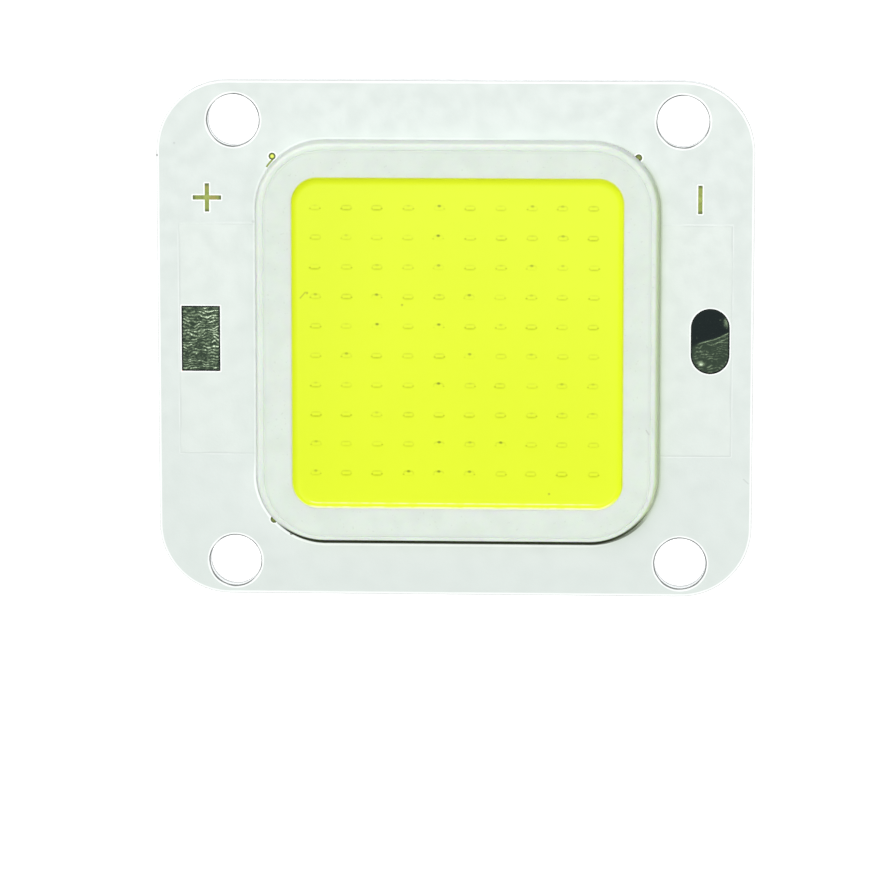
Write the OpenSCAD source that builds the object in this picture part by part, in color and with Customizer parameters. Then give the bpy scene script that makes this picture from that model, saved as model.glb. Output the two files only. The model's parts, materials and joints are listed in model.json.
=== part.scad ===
// Chip-on-board LED light engine on an aluminium board of the 46 mm x 40 mm format.
// Millimetres, +Z up out of the light-emitting face.
// Origin: middle of the board's back face. +X runs to the negative terminal.

/* [Board] */
// Length of the board along X
board_w = 46.2; // [43:0.1:60]
// Width of the board along Y
board_d = 40.2; // [39.5:0.1:54]
// Radius of the board's corners
board_corner_r = 5.5; // [2:0.25:6]
// Thickness of the aluminium plate
plate_t = 1.2; // [0.8:0.1:3]
// Thickness of the film that bonds the laminate to the plate
film_t = 0.03; // [0.02:0.01:0.1]
// Thickness of the glass laminate
laminate_t = 0.17; // [0.1:0.01:0.3]
// Thickness of the copper foil
copper_t = 0.035; // [0.018:0.001:0.07]
// Thickness of the white solder mask over bare laminate
mask_t = 0.045; // [0.04:0.001:0.08]
// Thickness of the solder mask where it runs over copper
mask_over_copper_t = 0.022; // [0.015:0.001:0.04]
// Bare laminate left between the mask and each cut edge
mask_pullback = 0.1; // [0:0.05:0.5]

/* [Mounting holes] */
// Diameter of each mounting hole
hole_d = 4; // [3:0.1:4.8]
// Distance between hole centres along X
hole_pitch_x = 34.7; // [30:0.1:48]
// Distance between hole centres along Y
hole_pitch_y = 34.5; // [30:0.1:48]

/* [Light-emitting surface] */
// Chips in each series string, along X
chips_in_string = 10; // [4:1:12]
// Distance between chips along a string
pitch_x = 2.39; // [1.6:0.01:2.5]
// Distance between strings
pitch_y = 2.3; // [1.2:0.01:2.5]
// From the middle of an end chip to the dam wall, along X
array_margin_x = 1.9; // [1.8:0.05:3]
// From the middle of an end chip to the dam wall, along Y
array_margin_y = 2.4; // [1.5:0.05:3]
// How far the screw holes and the dam sit off the middle of the board, along X
shift_x = 0.2; // [-0.3:0.01:0.3]
// How far the screw holes and the dam sit off the middle of the board, along Y
shift_y = -0.24; // [-0.3:0.01:0.3]

/* [Chips and wires] */
// Length of a chip, along its string
chip_l = 0.76; // [0.5:0.01:1]
// Width of a chip
chip_w = 0.38; // [0.25:0.01:0.8]
// Height of a chip's sapphire body
chip_t = 0.14; // [0.09:0.01:0.2]
// Height of the light-making layer on a chip
mesa_t = 0.01; // [0.005:0.005:0.02]
// Ledge round the light-making layer
mesa_ledge = 0.02; // [0.01:0.01:0.05]
// Thickness of the die-attach silicone
die_attach_t = 0.01; // [0.005:0.005:0.03]
// How far the die-attach silicone runs out round a chip
die_attach_run = 0.05; // [0:0.01:0.1]
// Diameter of a bond wire
wire_d = 0.03; // [0.018:0.001:0.04]
// Height of a wire's loop over the line between its two ends
wire_loop = 0.28; // [0.15:0.01:0.4]
// Diameter of the ball at each end of a wire
ball_d = 0.09; // [0.07:0.01:0.12]
// Height of the ball at each end of a wire
ball_h = 0.035; // [0.03:0.005:0.05]
// From a chip's end to the middle of its bond pad
bond_inset = 0.12; // [0.08:0.01:0.2]

/* [Dam frame] */
// Width of the dam's foot, from light-emitting surface to outside
dam_foot = 3.02; // [2:0.01:3.5]
// Height of the moulded dam
dam_h = 1.3; // [0.8:0.05:2.5]
// Radius of the dam's outer corners
dam_outer_r = 5.4; // [4:0.1:7]
// Radius of the opening's corners
dam_inner_r = 1.9; // [1:0.1:3]
// Radius of the dam's top outer edge
dam_edge_r = 0.35; // [0.1:0.05:0.6]
// How far the dam's outer wall leans in over its height
dam_outer_draft = 0.15; // [0.05:0.05:0.3]
// How far the opening's wall leans out over its height
dam_inner_draft = 0.13; // [0.03:0.01:0.3]
// Width of the fine moulded line round the dam's top
line_w = 0.1; // [0.04:0.02:0.2]
// Depth of that line
line_depth = 0.04; // [0.02:0.01:0.1]
// From the start of the dam's top edge to the middle of that line
line_inset = 0.2; // [0.1:0.02:0.5]
// Thickness of the glue line under the dam
glue_t = 0.04; // [0.02:0.01:0.1]
// Glue line's set-back from the dam's outer wall
glue_setback = 0.12; // [0:0.02:0.4]

/* [Phosphor silicone] */
// Depth of the silicone's level surface below the dam's top
fill_drop = 0.22; // [0.1:0.01:0.5]
// Radius of the meniscus where the silicone climbs the dam wall
meniscus_r = 0.16; // [0.05:0.01:0.3]

/* [Terminals] */
// Length of each soldering pad, along Y
pad_l = 5.1; // [2:0.1:8]
// Width of each soldering pad, along X
pad_w = 3; // [1.5:0.1:3.6]
// From the board's short edge to the middle of each pad
pad_inset = 3.35; // [3:0.05:4]
// Thickness of the tin on a pad
tin_t = 0.016; // [0.01:0.001:0.05]
// Copper left round a pad at its outer side
pad_border = 0.15; // [0.1:0.05:0.5]
// Length of the copper areas along Y
pour_l = 18; // [8:0.5:24]
// Width of the bare copper strip that the wires land on
bus_land = 0.5; // [0.3:0.05:0.6]
// From the dam wall to the opening in the mask
land_cover = 0.35; // [0.3:0.05:0.5]

/* [Marks] */
// Length of the strokes of the polarity marks
mark_l = 2.2; // [1:0.1:3]
// Width of the strokes of the polarity marks
mark_w = 0.34; // [0.2:0.02:0.6]
// From the board's short edge to the middle of each mark
mark_inset = 4.05; // [2:0.05:5]
// Height of the marks above the board's middle
mark_y = 11; // [9.5:0.1:12]
// How far the pair of marks sits off the middle of the board, along X
mark_shift = -0.15; // [-0.3:0.05:0.3]
// Diameter of the dots that place the dam
dot_d = 0.56; // [0.3:0.02:1]
// Width of the arcs that place the dam
arc_w = 0.14; // [0.1:0.02:0.3]
// Angle that each placing arc runs on from its dot
arc_angle = 10; // [6:1:40]

/* [Hidden] */
$fn = 48;

// Strings in parallel, along Y: one chip node and one wire node each
strings = 10;

// Heights of the layers
film_z = plate_t;
laminate_z = film_z + film_t;
copper_z = laminate_z + laminate_t;
copper_top = copper_z + copper_t;
mask_top = copper_z + mask_t;
mask_relief_top = copper_top + mask_over_copper_t;
glue_top = mask_relief_top + glue_t;
dam_top = glue_top + dam_h;
fill_z = dam_top - fill_drop;
climb_r = min(meniscus_r, fill_drop);
chip_z = plate_t + die_attach_t;
chip_top = chip_z + chip_t + mesa_t;

// Light-emitting surface and what is drawn round it
array_w = (chips_in_string - 1) * pitch_x;
array_d = (strings - 1) * pitch_y;
opening_w = array_w + 2 * array_margin_x;
opening_d = array_d + 2 * array_margin_y;
dam_w = opening_w + 2 * dam_foot;
dam_d = opening_d + 2 * dam_foot;
mask_window_w = opening_w - 2 * land_cover;
mask_window_d = opening_d - 2 * land_cover;
window_w = mask_window_w - 2 * bus_land;
window_d = mask_window_d - 2 * bus_land;
// Corner radius of the window that bares the plate for the chips
window_r = 1.2;
// Laminate left between the window and the copper
bus_edge = 0.06;
// Thickness left at the very top of the meniscus
meniscus_lip = 0.01;
// Flats round a bond wire
wire_sides = 8;
// Copper strip along the window: past the end strings, and out under the dam
bus_overrun = 0.7;
bus_l = array_d + 2 * bus_overrun;
bus_under_dam = 1.2;
// Radius of a placing dot about the middle of the dam's corner, and of its arc
dot_r = dam_outer_r + 0.05;
arc_r = dam_outer_r - 0.15;

// Chip places
function column_x(i) = (i - (chips_in_string - 1) / 2) * pitch_x;
function row_y(k) = ((strings + 1) / 2 - k) * pitch_y;
end_land_x = window_w / 2 + bus_edge + (bus_land - bus_edge) / 2;

// Slack for cuts that must pass a surface
eps = 0.01;

// ---------- outlines ----------

// Rectangle with round corners, from two crossing rectangles and four discs
module round_rect(w, d, r) {
    square([w - 2 * r, d], center = true);
    square([w, d - 2 * r], center = true);
    for (sx = [-1, 1], sy = [-1, 1])
        translate([sx * (w / 2 - r), sy * (d / 2 - r)]) circle(r);
}

// The drilled holes place the dam and its silicone; the outline and the print have the origin
module on_holes() {
    translate([shift_x, shift_y]) children();
}

// Plate outline with its four screw holes, drawn in by a border
module board_outline(border = 0) {
    difference() {
        round_rect(board_w - 2 * border, board_d - 2 * border, board_corner_r - border);
        on_holes() for (sx = [-1, 1], sy = [-1, 1])
            translate([sx * hole_pitch_x / 2, sy * hole_pitch_y / 2])
                circle(d = hole_d + 2 * border);
    }
}

module chip_window() {
    round_rect(window_w, window_d, window_r);
}

module mask_window() {
    round_rect(mask_window_w, mask_window_d, window_r + bus_land);
}

// Copper of one terminal: the broad area out to the pad and the strip along the window
module bus_outline(side) {
    inner = window_w / 2 + bus_edge;
    outer = board_w / 2 - pad_inset + pad_w / 2 + pad_border;
    translate([side > 0 ? inner : -outer, -pour_l / 2]) square([outer - inner, pour_l]);
    translate([side > 0 ? inner : -inner - bus_under_dam, -bus_l / 2])
        square([bus_under_dam, bus_l]);
}

module positive_pad_outline() {
    translate([pad_inset - board_w / 2, 0]) square([pad_w, pad_l], center = true);
}

module negative_pad_outline() {
    translate([board_w / 2 - pad_inset, 0]) {
        square([pad_w, pad_l - pad_w], center = true);
        for (s = [-1, 1]) translate([0, s * (pad_l - pad_w) / 2]) circle(d = pad_w);
    }
}

module plus_outline() {
    translate([mark_shift + mark_inset - board_w / 2, mark_y]) {
        square([mark_l, mark_w], center = true);
        square([mark_w, mark_l], center = true);
    }
}

module minus_outline() {
    translate([mark_shift + board_w / 2 - mark_inset, mark_y])
        square([mark_w, mark_l], center = true);
}

// Dot and short arc on each corner of the dam's outline, where its foot is to be set
module corner_mark(sx, sy) {
    translate([sx * (dam_w / 2 - dam_outer_r), sy * (dam_d / 2 - dam_outer_r)])
        rotate(atan2(sy, sx)) {
            translate([dot_r, 0]) circle(d = dot_d);
            intersection() {
                difference() {
                    circle(arc_r + arc_w / 2);
                    circle(arc_r - arc_w / 2);
                }
                polygon([[0, 0], [2 * arc_r, 0],
                    2 * arc_r * [cos(arc_angle), sin(arc_angle)]]);
            }
        }
}

module corner_marks_outline() {
    for (sx = [-1, 1], sy = [-1, 1]) corner_mark(sx, sy);
}

// ---------- board ----------

module layer(z, t) {
    translate([0, 0, z]) linear_extrude(t) children();
}

module base_plate() color([0.80, 0.82, 0.84]) layer(0, plate_t) board_outline();

module bond_film() color([0.72, 0.70, 0.60])
    layer(film_z, film_t) difference() {
        board_outline();
        chip_window();
    }

module laminate() color([0.70, 0.73, 0.68])
    layer(laminate_z, laminate_t) difference() {
        board_outline();
        chip_window();
    }

module copper_bus(side) color([0.78, 0.56, 0.30])
    layer(copper_z, copper_t) bus_outline(side);

module positive_bus() copper_bus(-1);
module negative_bus() copper_bus(1);

module mark(z = copper_z, t = copper_t) color([0.56, 0.58, 0.20]) layer(z, t) children();

module plus_mark() mark() plus_outline();
module minus_mark() mark() minus_outline();
module corner_marks() mark() corner_marks_outline();

module solder_mask() color([0.90, 0.93, 0.91]) difference() {
    union() {
        layer(copper_z, mask_t) board_outline(mask_pullback);
        layer(copper_z, mask_relief_top - copper_z) for (side = [-1, 1]) bus_outline(side);
    }
    for (side = [-1, 1]) layer(copper_z - eps, copper_t + eps) bus_outline(side);
    layer(copper_z - eps, mask_relief_top - copper_z + 2 * eps) {
        mask_window();
        positive_pad_outline();
        negative_pad_outline();
        plus_outline();
        minus_outline();
        corner_marks_outline();
    }
}

module tin() color([0.45, 0.50, 0.46]) layer(copper_top, tin_t) children();

module positive_pad() tin() positive_pad_outline();
module negative_pad() tin() negative_pad_outline();

// ---------- dam ----------

// Half of the dam's section: x runs outwards from the inner end, z up
module dam_rim_profile(w) {
    x_top = w - dam_outer_draft - dam_edge_r;
    x_line = x_top - line_inset;
    polygon([[0, 0], [w, 0], [w - dam_outer_draft, dam_h - dam_edge_r],
        [x_top, dam_h - dam_edge_r], [x_top, dam_h], [x_line + line_w / 2, dam_h],
        [x_line, dam_h - line_depth], [x_line - line_w / 2, dam_h], [0, dam_h]]);
    intersection() {
        translate([x_top, dam_h - dam_edge_r]) circle(dam_edge_r);
        translate([x_top - eps, dam_h - dam_edge_r - eps])
            square([2 * dam_edge_r, 2 * dam_edge_r]);
    }
}

// A profile carried along the four sides and round the four corners of a rectangle with round
// corners. The profile's x runs outwards from the middle of the corner, and its y runs up.
module carried_round(w, d, r) {
    side_x = w / 2 - r;
    side_y = d / 2 - r;
    for (turn = [0, 180]) rotate(turn) {
        translate([side_x, side_y]) rotate([90, 0, 0]) linear_extrude(2 * side_y) children();
        rotate(90) translate([side_y, side_x]) rotate([90, 0, 0])
            linear_extrude(2 * side_x) children();
        for (quarter = [0, 90])
            translate(quarter == 0 ? [side_x, side_y] : [-side_x, side_y]) rotate(quarter)
                rotate_extrude(angle = 90) children();
    }
}

// Block with round corners whose four walls lean outwards: half sizes at the foot and the top
module leaning_block(w, d, r, lean, h) {
    cx = w / 2 - r;
    cy = d / 2 - r;
    for (turn = [0, 90]) {
        across = turn == 0 ? w / 2 : d / 2;
        along = turn == 0 ? cy : cx;
        rotate(turn) translate([0, along, 0]) rotate([90, 0, 0]) linear_extrude(2 * along)
            polygon([[-across, 0], [across, 0], [across + lean, h], [-across - lean, h]]);
    }
    for (sx = [-1, 1], sy = [-1, 1])
        translate([sx * cx, sy * cy]) cylinder(h, r, r + lean);
}

module dam_frame() color([0.90, 0.93, 0.88]) on_holes() translate([0, 0, glue_top]) difference() {
    carried_round(dam_w, dam_d, dam_outer_r) dam_rim_profile(dam_outer_r);
    slope = dam_inner_draft / dam_h;
    translate([0, 0, -eps]) leaning_block(opening_w - 2 * slope * eps, opening_d - 2 * slope * eps,
        dam_inner_r - slope * eps, slope * (dam_h + 2 * eps), dam_h + 2 * eps);
}

// Footprint of the glue line
module glue_ring() {
    on_holes() difference() {
        round_rect(dam_w - 2 * glue_setback, dam_d - 2 * glue_setback, dam_outer_r - glue_setback);
        round_rect(opening_w, opening_d, dam_inner_r);
    }
}

// The glue fills from the mask up to the dam's foot, round the raised copper areas and down
// into the mask's openings over the corner marks
module frame_glue() color([0.86, 0.88, 0.80]) {
    difference() {
        layer(mask_top, glue_top - mask_top) glue_ring();
        layer(mask_top - eps, mask_relief_top - mask_top + eps)
            for (side = [-1, 1]) bus_outline(side);
    }
    layer(copper_top, mask_top - copper_top) intersection() {
        glue_ring();
        corner_marks_outline();
    }
}

// ---------- chips ----------

module at_chips(k) {
    for (i = [0 : chips_in_string - 1]) translate([column_x(i), row_y(k), 0]) children();
}

module die_attach() color([0.85, 0.86, 0.84]) for (k = [1 : strings]) at_chips(k)
    translate([0, 0, plate_t + die_attach_t / 2])
        cube([chip_l + 2 * die_attach_run, chip_w + 2 * die_attach_run, die_attach_t], center = true);

module led_chip() {
    translate([0, 0, chip_z + chip_t / 2]) cube([chip_l, chip_w, chip_t], center = true);
    translate([0, 0, chip_z + chip_t + mesa_t / 2])
        cube([chip_l - 2 * mesa_ledge, chip_w - 2 * mesa_ledge, mesa_t], center = true);
}

module chip_row(k) color([0.62, 0.78, 0.90]) at_chips(k) led_chip();

// ---------- bond wires ----------

// One wire from a to b, each [x, z] of a landing: a ball on each and an arc of a circle between them
module bond_wire(a, b) {
    chord = norm(b - a);
    slope = atan2(b[1] - a[1], b[0] - a[0]);
    loop_r = chord * chord / (8 * wire_loop) + wire_loop / 2;
    half_angle = asin(chord / 2 / loop_r);
    middle = (a + b) / 2;
    for (end = [a, b]) translate([end[0], 0, end[1]]) cylinder(ball_h, d = ball_d);
    translate([middle[0], 0, middle[1] + ball_h / 2]) rotate([0, -slope, 0])
        translate([0, 0, wire_loop - loop_r]) rotate([90, 0, 0]) rotate([0, 0, 90 - half_angle])
            rotate_extrude(angle = 2 * half_angle) translate([loop_r, 0])
                circle(d = wire_d, $fn = wire_sides);
}

module wire_row(k) color([0.95, 0.78, 0.30]) translate([0, row_y(k), 0]) {
    reach = chip_l / 2 - bond_inset;
    left_land = [-end_land_x, copper_top];
    right_land = [end_land_x, copper_top];
    bond_wire(left_land, [column_x(0) - reach, chip_top]);
    for (i = [0 : chips_in_string - 2])
        bond_wire([column_x(i) + reach, chip_top], [column_x(i + 1) - reach, chip_top]);
    bond_wire([column_x(chips_in_string - 1) + reach, chip_top], right_land);
}

// ---------- phosphor silicone ----------

// Section of the hollow over the silicone, whose rim is the meniscus
module hollow_profile(r) {
    square([r - climb_r, 2 * climb_r]);
    translate([r - climb_r, climb_r]) circle(climb_r);
}

// What the silicone's free surface leaves empty: its edge turns up all the way round
module hollow(w, d, r) {
    translate([0, 0, climb_r]) cube([w - 2 * r, d - 2 * r, 2 * climb_r], center = true);
    carried_round(w, d, r) hollow_profile(r);
}

module phosphor_body() {
    brim_h = fill_z + climb_r - glue_top;
    brim = dam_inner_draft / dam_h * brim_h;
    layer(plate_t, mask_top - plate_t) chip_window();
    layer(copper_z, mask_top - copper_z) mask_window();
    layer(mask_top, glue_top - mask_top)
        on_holes() round_rect(opening_w, opening_d, dam_inner_r);
    on_holes() difference() {
        translate([0, 0, glue_top])
            leaning_block(opening_w, opening_d, dam_inner_r, brim, brim_h);
        translate([0, 0, fill_z])
            hollow(opening_w + 2 * (brim - meniscus_lip), opening_d + 2 * (brim - meniscus_lip),
                dam_inner_r + brim - meniscus_lip);
    }
}

module phosphor_fill() color([0.90, 1.00, 0.18]) difference() {
    phosphor_body();
    for (side = [-1, 1]) {
        layer(copper_z - eps, copper_t + eps) bus_outline(side);
        layer(copper_z - eps, mask_relief_top - copper_z + eps) difference() {
            bus_outline(side);
            mask_window();
        }
    }
    die_attach();
    for (k = [1 : strings]) {
        chip_row(k);
        wire_row(k);
    }
}

base_plate();
bond_film();
laminate();
positive_bus();
negative_bus();
plus_mark();
minus_mark();
corner_marks();
solder_mask();
positive_pad();
negative_pad();
frame_glue();
dam_frame();
die_attach();
chip_row(1);  // chip_row_1
chip_row(2);  // chip_row_2
chip_row(3);  // chip_row_3
chip_row(4);  // chip_row_4
chip_row(5);  // chip_row_5
chip_row(6);  // chip_row_6
chip_row(7);  // chip_row_7
chip_row(8);  // chip_row_8
chip_row(9);  // chip_row_9
chip_row(10);  // chip_row_10
wire_row(1);  // wire_row_1
wire_row(2);  // wire_row_2
wire_row(3);  // wire_row_3
wire_row(4);  // wire_row_4
wire_row(5);  // wire_row_5
wire_row(6);  // wire_row_6
wire_row(7);  // wire_row_7
wire_row(8);  // wire_row_8
wire_row(9);  // wire_row_9
wire_row(10);  // wire_row_10
phosphor_fill();
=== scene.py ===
import json
import math

import bpy
import numpy as np
from bpy.props import FloatProperty, FloatVectorProperty, IntProperty, PointerProperty
from bpy.types import NodeSocket, Operator, Panel, PropertyGroup
from mathutils import Matrix, Vector


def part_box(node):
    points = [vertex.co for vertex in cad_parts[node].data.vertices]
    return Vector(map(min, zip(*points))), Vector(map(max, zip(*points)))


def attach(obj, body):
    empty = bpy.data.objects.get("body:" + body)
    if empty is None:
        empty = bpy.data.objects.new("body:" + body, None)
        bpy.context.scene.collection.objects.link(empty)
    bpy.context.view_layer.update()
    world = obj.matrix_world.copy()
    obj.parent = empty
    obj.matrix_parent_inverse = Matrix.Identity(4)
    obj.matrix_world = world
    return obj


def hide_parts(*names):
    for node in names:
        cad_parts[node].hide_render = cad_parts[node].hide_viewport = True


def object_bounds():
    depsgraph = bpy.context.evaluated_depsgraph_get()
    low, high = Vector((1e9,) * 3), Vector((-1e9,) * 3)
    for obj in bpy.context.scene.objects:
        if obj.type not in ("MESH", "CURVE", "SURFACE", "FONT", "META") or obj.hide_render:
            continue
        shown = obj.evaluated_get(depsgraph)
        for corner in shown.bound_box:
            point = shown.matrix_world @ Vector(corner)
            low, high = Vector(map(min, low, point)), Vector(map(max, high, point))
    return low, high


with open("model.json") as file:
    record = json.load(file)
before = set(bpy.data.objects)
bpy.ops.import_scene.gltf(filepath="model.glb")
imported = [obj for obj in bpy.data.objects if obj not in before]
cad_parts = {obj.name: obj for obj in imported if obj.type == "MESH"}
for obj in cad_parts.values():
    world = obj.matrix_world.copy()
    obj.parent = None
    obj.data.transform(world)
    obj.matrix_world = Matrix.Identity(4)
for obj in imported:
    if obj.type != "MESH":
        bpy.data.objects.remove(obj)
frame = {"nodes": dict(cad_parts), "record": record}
CAD_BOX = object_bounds()
NODES = frame["nodes"]
MM = 0.001
WHITE = (1.0, 1.0, 1.0)

bl_info = {
    "name": "COB LED module",
    "version": (1, 0, 0),
    "blender": (4, 5, 0),
    "location": "3D View > Sidebar > COB LED",
    "description": "Finishes and fine surfaces of a chip-on-board LED module",
    "category": "Object",
}


# ---------- settings ----------


def display(red, green, blue):
    """Linear colour of a display colour given from 0 to 255: each channel goes back through the sRGB curve."""
    shares = np.array([red, green, blue]) / 255
    low = shares / 12.92
    high = ((shares + 0.055) / 1.055) ** 2.4
    return tuple(float(v) for v in np.where(shares <= 0.04045, low, high))


def darker(tone, share):
    return tuple(share * channel for channel in tone)


def colour(name, description, value):
    return FloatVectorProperty(
        name=name, description=description, subtype="COLOR", size=3, min=0, max=1, default=display(*value)
    )


def length(name, description, millimetres):
    return FloatProperty(
        name=name, description=description, unit="LENGTH", precision=6, default=millimetres * MM
    )


def share(name, description, value, most=1.0):
    return FloatProperty(name=name, description=description, subtype="FACTOR", min=0, max=most, default=value)


class BoardLooks(PropertyGroup):
    mask: colour("Mask", "White solder mask", (214, 223, 218))
    mask_over_copper: colour("Mask over copper", "Solder mask where it covers the copper areas", (216, 225, 219))
    # The mask edge colour also paints light on the mask beside the dam's foot.
    mask_edge: colour("Mask edge", "Thicker rim of the mask round its openings", (250, 254, 252))
    bead: length("Edge bead", "Width of the thicker rim of the mask", 0.14)
    # Scuff is also the colour of the painted shade beside the dam's left and back.
    scuff: colour("Scuff", "Dull traces on the mask", (202, 210, 206))
    # Painted shade, tinted green, on the mask at the dam's right foot.
    green_shade: colour("Seeped light", "Mask at the foot of the dam, where its light turns green", (172, 188, 156))
    # Painted shadow: the dark line on the mask under the dam's front edge.
    under: colour("Foot line", "Dark line of the mask under the front edge of the dam", (36, 54, 16))
    outline_r: length("Mask corner radius", "Corner radius of the mask's outline", 5.4)
    bare: length("Bare margin", "Bare laminate between the mask and each cut edge", 0.1)
    dot_x: length("Dot place X", "From the board's middle to its four placing dots, along X", 14.13)
    dot_y: length("Dot place Y", "From the board's middle to its four placing dots, along Y", 14.22)
    dot_r: length("Dot radius", "Radius of the placing dots", 0.28)
    # Dark line at the cut edges: partly the darker cut edge, partly painted shade of the edge's wall. It is also the
    # tone of the plate's torn edge.
    cut_edge_and_shade: colour("Burr", "Dark line at the edge of each screw hole and of the board", (96, 100, 99))
    laminate: colour("Laminate", "Bare margin of the glass laminate", (246, 249, 247))
    film: colour("Bond film", "Film between the laminate and the plate", (222, 222, 214))
    plate: colour("Plate", "Aluminium plate", (226, 229, 230))
    grain: length("Rolling grain", "Distance between the rolling lines of the plate", 0.09)


class DamLooks(PropertyGroup):
    plastic: colour("Plastic", "Moulded white plastic of the dam", (231, 240, 231))
    depth: length("Light depth", "How far light travels inside the plastic", 0.35)
    mottle: length("Mottle", "Size of the soft cloudy patches", 1.6)
    # Painted shade, tinted olive, on the outer wall where it faces the right and the front.
    olive: colour("Olive side", "Outer wall, where light from the silicone seeps through", (212, 228, 188))
    # Dark painted shade on the outer wall where it faces the front.
    dark: colour("Dark side", "Outer wall towards the front edge of the board", (34, 42, 14))
    wet: colour("Wet rim", "Film of silicone left on the brim", (224, 243, 44))
    groove: length("Moulded line", "From the dam's foot line in to its moulded line", 0.8)
    outer_r: length("Outer corner radius", "Radius of the dam's outer corners", 5.4)
    glue: colour("Glue", "Clear white glue under the dam", (214, 220, 196))


class GelLooks(PropertyGroup):
    gel: colour("Silicone", "Phosphor silicone", (233, 251, 43))
    gel_side: colour("Silicone at the left", "Phosphor silicone where the light is a little lower", (229, 248, 41))
    thin: colour("Thin edge", "Silicone where it thins out on the dam's wall", (238, 246, 196))
    glint: colour("Glint", "Bright lines along the front edge of the silicone", (252, 255, 186))
    ending: colour("Ending", "Last of the silicone on the front wall, where the dam shows through", (228, 235, 216))
    mark: colour("Chip mark", "Dark lines where a chip shows through", (196, 214, 0))
    deep: colour("Loop mark", "Darkest spot, where a wire loop nears the surface", (140, 158, 0))
    dust: colour("Dust", "Dust caught in the silicone", (150, 158, 30))
    corner_r: length("Corner radius", "Corner radius of the free surface at the wall", 2.0)
    meniscus_w: length("Meniscus width", "How far from the wall the surface starts to turn up", 0.5)
    meniscus_h: length("Meniscus height", "How far the surface climbs the wall", 0.16)
    thin_w: length("Thin edge width", "Width of the band along the wall in which the silicone's edge is drawn", 0.6)
    grid_step: length("Grid step", "Distance between the surface's grid lines", 0.12)
    mound: length("Mound height", "Height of the silicone's swell over each chip", 0.005)
    wave: length("Wave height", "Height of the slow waves of the free surface", 0.008)
    mark_l: length("Chip mark length", "Half length of the outline over a chip", 0.37)
    mark_w: length("Chip mark width", "Half width of the outline over a chip", 0.16)
    line_w: length("Mark line width", "Width of the soft lines that outline a chip", 0.115)


class PadLooks(PropertyGroup):
    # The tin's colours are painted reflections: dark tin, with bright and brightest painted highlights on the ripples.
    valley: colour("Valley", "Dark tin between the ripples", (22, 32, 23))
    crest: colour("Crest", "Bright tin on the ripples", (71, 83, 65))
    glint: colour("Glint", "Brightest tin, on the steepest ripples", (140, 152, 132))
    # Painted dark reflection on the smooth end of the negative pad.
    dark_reflection: colour("Stain", "Smooth dark end of the negative pad", (1, 7, 8))
    rim: colour("Rim", "Dark line where the tin meets the mask", (4, 9, 7))
    grid_step: length("Grid step", "Distance between the surface's grid lines", 0.03)
    ripple: length("Ripple length", "Distance between ripples", 0.24)
    ripple_h: length("Ripple height", "Height of the ripples", 0.006)
    shoulder: length("Shoulder", "Width over which the tin falls to its edge", 0.12)
    corner_r: length("Corner radius", "Corner radius of the square pad", 0.08)
    seed: IntProperty(name="Seed", description="Start of the ripples' random draws", default=7)


class MetalLooks(PropertyGroup):
    tarnish: colour("Tarnish", "Bare copper marks, tarnished under their lacquer", (110, 124, 38))
    tarnish_pale: colour("Pale tarnish", "Middle of the bare copper marks", (138, 151, 64))
    tarnish_dark: colour("Dark tarnish", "Ends of the bare copper marks", (62, 74, 2))
    tarnish_warm: colour("Warm tarnish", "Reddish spots of the bare copper marks", (134, 115, 52))
    dot: colour("Dot", "Middle of the placing dots", (190, 204, 66))
    foil: colour("Foil", "Copper foil", (186, 120, 80))


class StageLooks(PropertyGroup):
    floor: colour("Floor", "Pale floor", (244, 245, 245))
    floor_glow: share("Floor glow", "Light that the floor adds of its own in the camera's view", 0.62, 2.0)
    ambient: share("Ambient", "Level of the light from the back left", 0.66, 2.0)
    ambient_front: share("Ambient front", "Level of the light from the front right", 0.08, 2.0)
    key: share("Key", "Share of the light from straight above", 0.52, 2.0)
    fill: share("Fill", "Share of the light from overhead", 0.2, 2.0)
    lens: FloatProperty(name="Lens", description="Focal length on a 36 mm frame", default=195.57)


GROUPS = {
    "cob_board": BoardLooks,
    "cob_dam": DamLooks,
    "cob_gel": GelLooks,
    "cob_pads": PadLooks,
    "cob_metal": MetalLooks,
    "cob_stage": StageLooks,
}


# ---------- shader building ----------


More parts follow.
